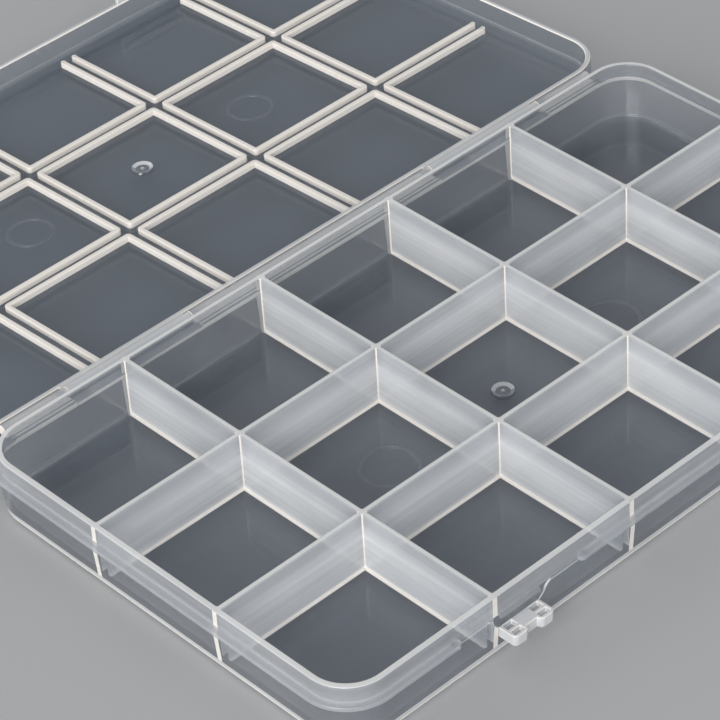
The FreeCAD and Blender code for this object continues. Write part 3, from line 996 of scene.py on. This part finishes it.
@dataclass
class MouldMarks:
    """Ejector rings and gate buttons that moulding leaves on the floor and the lid's plate."""

    materials: Materials
    line: float = 0.18 * MM
    line_round: float = 0.06 * MM
    lift: float = 0.04 * MM
    ring_points: int = 64
    ring_width: float = 0.5 * MM
    tray_ring: float = 5.8 * MM
    lid_ring: float = 4.9 * MM
    from_middle: float = 29.7 * MM
    gate_points: int = 40
    gate_radius: float = 2.4 * MM
    gate_height: float = 0.45 * MM
    gate_shoulder: float = 0.36 * MM
    gate_sink: float = 0.1125 * MM
    crest: float = 0.2 * MM
    slope: float = 0.75 * MM
    dish_height: float = 0.09 * MM
    nub_radius: float = 0.45 * MM
    nub_tip_radius: float = 0.27 * MM
    nub_height: float = 0.27 * MM

    def dress(self, sweeper: SweptMoulding, body: str, z: float, radius: float, up: int,
              turn: Matrix | None = None) -> None:
        """Mark the tray's floor or the lid's plate.

        Args:
            sweeper: The sweep's node tree.
            body: Body that carries the marks.
            z: Height of the marked face when closed.
            radius: Radius of the ejector rings.
            up: 1 where the face looks up when closed, -1 where it looks down.
            turn: Turn applied to the marks, if any.
        """
        middle = Vector((0, 0, z))
        carry(self.rings(sweeper, f"{body}_ejector_rings", middle, radius, up, turn), body, f"{body}_plastic")
        carry(self.gate(f"{body}_gate_mark", middle, up, turn), body, f"{body}_plastic")

    def rings(self, sweeper: SweptMoulding, name: str, middle: Vector, radius: float, up: int,
              turn: Matrix | None) -> bpy.types.Object:
        """Pairs of thin raised circles, one just inside the other.

        Args:
            sweeper: The sweep's node tree.
            name: Object name.
            middle: Point midway between the pairs.
            radius: Radius of the outer circles.
            up: 1 where the face looks up when closed, -1 where it looks down.
            turn: Turn applied to the result, if any.

        Returns:
            One object with all the circles.
        """
        turns = [math.tau * step / self.ring_points for step in range(self.ring_points)]
        paths = []
        for side in (1, -1):
            base = middle + Vector((side * self.from_middle, 0, up * (self.lift - self.line / 2)))
            for reach in (radius, radius - self.ring_width):
                circle = [base + reach * Vector((math.cos(a), math.sin(a), 0)) for a in turns]
                paths.append([*circle, circle[0]])
        values = {"Width": self.line, "Height": self.line, "Edge round": self.line_round,
                  "Corner radius": 0.0, "Corner steps": 1, "Round ends": False,
                  "Material": self.materials[Surface.WALL]}
        return sweeper.sweep(name, paths, values, turn)

    def gate(self, name: str, centre: Vector, up: int, turn: Matrix | None) -> bpy.types.Object:
        """Low button with a dished top and a small nub.

        Args:
            name: Object name.
            centre: Point on the face.
            up: 1 where the face looks up when closed, -1 where it looks down.
            turn: Turn applied to the result, if any.

        Returns:
            The button object.
        """
        inner = self.gate_radius - self.crest
        outline = ((self.gate_radius, -self.gate_sink, Surface.CLEAR),
                   (self.gate_radius - self.crest / 2, self.gate_shoulder, Surface.CLEAR),
                   (inner, self.gate_height, Surface.FROST),
                   (inner - self.slope, self.dish_height, Surface.WALL),
                   (self.nub_radius, self.dish_height, Surface.FROST),
                   (self.nub_tip_radius, self.nub_height, Surface.FROST))
        turns = [math.tau * step / self.gate_points for step in range(self.gate_points)]
        rings = [[centre + Vector((out * math.cos(a), out * math.sin(a), up * rise)) for a in turns]
                 for out, rise, _ in outline]

        def dress(band: int, index: int) -> Surface:
            """Surface of a face: painted shading, the frosted faces on the near side take a less hazy finish
            so the far slope shows brighter.
            """
            plain = outline[band][2]
            # Painted shading: the near half of the frosted faces is dimmer than the far half.
            near = math.cos(turns[index]) + up * math.sin(turns[index]) < 0
            return Surface.LEDGE if near and plain is Surface.FROST else plain

        shell = Shell()
        base, tip = shell.stack(rings, dress)
        shell.cap(base, Surface.CLEAR)
        shell.cap(tip, Surface.FROST)
        return shell.finish(name, self.materials, turn)


@dataclass
class Fittings:
    """Hinge lengths, catches, thumb lips and latch tabs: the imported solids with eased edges."""

    frame: dict
    box: BoxFrame
    materials: Materials
    easing: float = 0.14 * MM
    easing_steps: int = 2
    weld: float = 0.002 * MM
    flat: float = math.radians(1)
    root_reach: float = 0.5 * MM
    flange_reach: float = 0.3 * MM
    sink: float = 0.25 * MM
    hinge_sink: float = 0.5 * MM
    # Band on the hinge tops that takes a painted bright line.
    light_line: Span = (0.2 * MM, 0.7 * MM)
    skirt_overlap: float = 0.2 * MM
    pocket_drop: float = 0.1 * MM

    FACING = 0.7
    LEVEL = 0.9

    def dress_tray(self) -> None:
        """Ease the tray's hinge lengths, catches and thumb lips."""
        box = self.box
        root = box.outer_y + self.root_reach
        seams = (*(box.outer_y + line for line in self.light_line), box.lid_y - self.skirt_overlap)

        def painted_hinge_glow(centre: Vector, normal: Vector) -> bool:
            """Tell whether a hinge face gets a painted glow: at ends and root, on a line and past the skirt.
            """
            rooted = centre.y < root and normal.y < -self.FACING
            lined = seams[0] < centre.y < seams[1] and normal.z > self.FACING
            outside = centre.y > seams[2] and centre.z < box.hinge.axis.z
            return abs(normal.x) > self.FACING or rooted or lined or outside

        def pocket(centre: Vector, normal: Vector) -> bool:
            """Tell whether a face is the floor of a thumb lip's pocket."""
            return normal.z > self.LEVEL and centre.z < box.thumb_top - self.pocket_drop

        inward = Vector((0, self.sink, 0))
        for name in ("left", "centre", "right"):
            node = f"tray_hinge_{name}"
            piece = self.ease(node, Surface.LEDGE, lambda co: co.y < root, Vector((0, -self.hinge_sink, 0)),
                              seams)
            # Painted glow: the chosen faces take the bright edge finish.
            repaint(piece, self.materials[Surface.EDGE], painted_hinge_glow)
            carry(piece, "tray", "tray_plastic", node)
        for name in ("left", "right"):
            node = f"catch_ridge_{name}"
            piece = self.ease(node, Surface.WALL, lambda co: co.y > -root, inward, edge=Surface.WALL)
            carry(piece, "tray", "tray_plastic", node)
            node = f"thumb_lip_{name}"
            piece = self.ease(node, Surface.FROST, lambda co: co.y > -root, inward)
            repaint(piece, self.materials[Surface.LEDGE], pocket)
            carry(piece, "tray", "tray_plastic", node)

    def dress_lid(self) -> None:
        """Ease the lid's hinge flanges and latch tabs."""
        for name in ("left", "right"):
            node = f"lid_hinge_{name}"
            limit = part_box(node)[1].y - self.flange_reach
            piece = self.ease(node, Surface.FROST, lambda co: co.y > limit, Vector((0, self.sink, 0)))
            # Painted glow: the flanges' end faces take the bright edge finish.
            repaint(piece, self.materials[Surface.EDGE], lambda centre, normal: abs(normal.x) > self.FACING)
            carry(piece, "lid", "lid_plastic", node)
            node = f"latch_tab_{name}"
            piece = self.ease(node, Surface.FROST, lambda co: False, Vector())
            carry(piece, f"latch_{name}", "lid_plastic", node)

    def ease(self, node: str, surface: Surface, root: Callable[[Vector], bool], sink: Vector,
             seams: Sequence[float] = (), edge: Surface = Surface.EDGE) -> bpy.types.Object:
        """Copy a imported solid, push its root into what carries it, and round its edges.

        Args:
            node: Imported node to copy.
            surface: Surface of its faces.
            root: Tells which points lie on what carries the piece.
            sink: How far those points are pushed in.
            seams: Each Y at which faces are split.
            edge: Surface of the eased edges.

        Returns:
            The eased object.
        """
        copy = bmesh.new()
        copy.from_mesh(self.frame["nodes"][node].data)
        bmesh.ops.remove_doubles(copy, verts=copy.verts[:], dist=self.weld)
        bmesh.ops.dissolve_limit(copy, angle_limit=self.flat, verts=copy.verts[:], edges=copy.edges[:])
        for vert in copy.verts:
            if root(vert.co):
                vert.co += sink
        for seam in seams:
            bmesh.ops.bisect_plane(copy, geom=copy.verts[:] + copy.edges[:] + copy.faces[:], dist=self.weld,
                                   plane_co=(0, seam, 0), plane_no=(0, 1, 0))
        for face in copy.faces:
            face.material_index = surface.value
        mesh = bpy.data.meshes.new(f"{node}_eased")
        copy.to_mesh(mesh)
        copy.free()
        for kind in Surface:
            mesh.materials.append(self.materials[kind])
        piece = bpy.data.objects.new(mesh.name, mesh)
        bpy.context.scene.collection.objects.link(piece)
        bevel = piece.modifiers.new("easing", "BEVEL")
        bevel.width = self.easing
        bevel.segments = self.easing_steps
        bevel.limit_method = "ANGLE"
        bevel.angle_limit = Shell.SHARP
        bevel.material = edge.value
        eased = plain_mesh(piece)
        bpy.data.objects.remove(piece)
        bpy.data.meshes.remove(mesh)
        eased.name = f"{node}_eased"
        return linked(smooth(eased, Shell.SHARP), eased.name)


@dataclass(frozen=True)
class Lamp:
    """Square soft lamp: where it stands in metres, its size, its power in watts and its colour."""

    name: str
    place: Vector
    size: float
    power: float
    colour: Colour

    def light(self, aim: Vector) -> None:
        """Set the lamp up, turned to a point."""
        data = bpy.data.lights.new(self.name, "AREA")
        data.size = self.size
        data.energy = self.power
        data.color = self.colour
        lamp = bpy.data.objects.new(self.name, data)
        lamp.location = self.place
        lamp.rotation_euler = (aim - self.place).to_track_quat("-Z", "Y").to_euler()
        bpy.context.scene.collection.objects.link(lamp)


@dataclass(frozen=True)
class Studio:
    """Camera, floor and lights."""

    camera_place: Vector = Vector((-0.346644, -0.350504, 0.401780))
    camera_turn: tuple[float, float, float] = (51.5112, 2.8667, -43.8998)
    focal_length: float = 169.783
    sensor_width: float = 36.0
    camera_reach: float = 20.0
    clear_layers: int = 32
    floor_colour: Colour = (0.375, 0.38, 0.387)
    floor_roughness: float = 0.35
    floor_half: float = 6.0
    floor_drop: float = 0.05 * MM
    world_colour: Colour = (0.97, 0.98, 1.0)
    world_strength: float = 0.48
    aim: Vector = Vector((0, 0.04, 0))
    lamps: tuple[Lamp, ...] = (
        Lamp("key", Vector((-2.2, -1.0, 1.0)), 1.8, 70.0, (1.0, 0.99, 0.975)),
        Lamp("front_fill", Vector((0.6, -2.2, 1.0)), 1.8, 12.0, (0.985, 0.99, 1.0)),
        Lamp("back_light", Vector((-0.6, 2.2, 1.8)), 1.4, 12.0, (1.0, 1.0, 1.0)),
    )

    def build(self) -> None:
        """Set up the scene round the object."""
        scene = bpy.context.scene
        scene.view_settings.view_transform = "Standard"
        scene.cycles.transparent_max_bounces = self.clear_layers
        self._camera(scene)
        self._floor()
        self._world(scene)
        for lamp in self.lamps:
            lamp.light(self.aim)

    def _camera(self, scene: bpy.types.Scene) -> None:
        """Camera at the photograph's viewing angle."""
        data = bpy.data.cameras.new("view")
        data.sensor_width = self.sensor_width
        data.lens = self.focal_length
        data.clip_end = self.camera_reach
        camera = bpy.data.objects.new("view", data)
        camera.location = self.camera_place
        camera.rotation_euler = Euler([math.radians(angle) for angle in self.camera_turn], "XYZ")
        scene.collection.objects.link(camera)
        scene.camera = camera

    def _floor(self) -> None:
        """Plain pale floor."""
        half = self.floor_half
        mesh = bpy.data.meshes.new("floor")
        corners = ((-half, -half), (half, -half), (half, half), (-half, half))
        mesh.from_pydata([(x, y, -self.floor_drop) for x, y in corners], [], [(0, 1, 2, 3)])
        material = bpy.data.materials.new("floor_paint")
        material.use_nodes = True
        paint = material.node_tree.nodes["Principled BSDF"]
        paint.inputs["Base Color"].default_value = (*self.floor_colour, 1)
        paint.inputs["Roughness"].default_value = self.floor_roughness
        mesh.materials.append(material)
        floor = bpy.data.objects.new("floor", mesh)
        bpy.context.scene.collection.objects.link(floor)

    def _world(self, scene: bpy.types.Scene) -> None:
        """Even surrounding light."""
        world = bpy.data.worlds.new("studio")
        world.use_nodes = True
        back = world.node_tree.nodes["Background"]
        back.inputs["Color"].default_value = (*self.world_colour, 1)
        back.inputs["Strength"].default_value = self.world_strength
        scene.world = world


def finishes(box: BoxFrame) -> Materials:
    """Make the plastic's finishes.

    Args:
        box: Sizes, for the heights that the haze follows.

    Returns:
        Material for each surface.
    """
    film = (0.765, 0.788, 0.818)
    wall_film = (0.80, 0.82, 0.845)
    plate_film = (0.725, 0.757, 0.795)
    clear_edge = (0.95, 0.95, 0.93)
    cool_white = (0.79, 0.81, 0.835)
    white = (0.86, 0.87, 0.88)
    warm_white = (0.87, 0.865, 0.85)
    cream = (0.89, 0.847, 0.793)
    tall = (box.floor, box.rim)
    made = {
        Surface.CLEAR: Finish("clear_floor", film, cool_white, cool_white, (0.03,) * 4, tall,
                              streaks=0.35, glow_through=0.4, roughness=0.06, grain=0.05),
        Surface.WALL: Finish("hazy_wall", wall_film, cool_white, white, (0.14, 0.12, 0.11, 0.12), tall,
                             streaks=0.35, glow_through=0.3, roughness=0.1, grain=0.1),
        Surface.DIVIDER: Finish("milky_divider", film, cool_white, white, (0.95, 0.76, 0.80, 0.46), tall,
                                streaks=0.22, glow_through=0.3, roughness=0.15, grain=0.15),
        Surface.RIM: Finish("frosted_rim", film, warm_white, warm_white, (0.76,) * 4, tall,
                            streaks=0.1, glow_through=0.2, roughness=0.2, grain=0.15),
        Surface.FROST: Finish("frosted_fitting", film, white, white, (0.66,) * 4, tall,
                              streaks=0.15, glow_through=0.2, roughness=0.2, grain=0.15),
        Surface.EDGE: Finish("bright_edge", clear_edge, cream, cream, (0.93,) * 4, tall,
                             streaks=0.06, glow_through=0.1, roughness=0.25, grain=0.2),
        Surface.LEDGE: Finish("hazy_ledge", wall_film, cool_white, white, (0.33,) * 4, tall,
                              streaks=0.25, glow_through=0.25, roughness=0.15, grain=0.15),
        Surface.PLATE: Finish("clear_plate", plate_film, cool_white, cool_white, (0.02,) * 4, tall,
                              streaks=0.35, glow_through=0.4, roughness=0.06, grain=0.05),
    }
    return {surface: finish.material() for surface, finish in made.items()}


def main() -> None:
    """Load the frame, dress the box and set up the studio."""
    logging.basicConfig(level=logging.INFO, format="%(message)s")
    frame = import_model()
    box = BoxFrame.read(frame)
    materials = finishes(box)
    sweeper = SweptMoulding()
    fittings = Fittings(frame, box, materials)
    marks = MouldMarks(materials)
    lid = LidMoulding(box, materials)
    TrayMoulding(box, materials).dress()
    Ledge(box, materials).dress(sweeper)
    fittings.dress_tray()
    marks.dress(sweeper, "tray", box.floor, marks.tray_ring, 1)
    lid.dress(sweeper)
    fittings.dress_lid()
    marks.dress(sweeper, "lid", lid.plate_low, marks.lid_ring, -1, box.hinge.to_open())
    Studio().build()


if __name__ == "__main__":
    main()
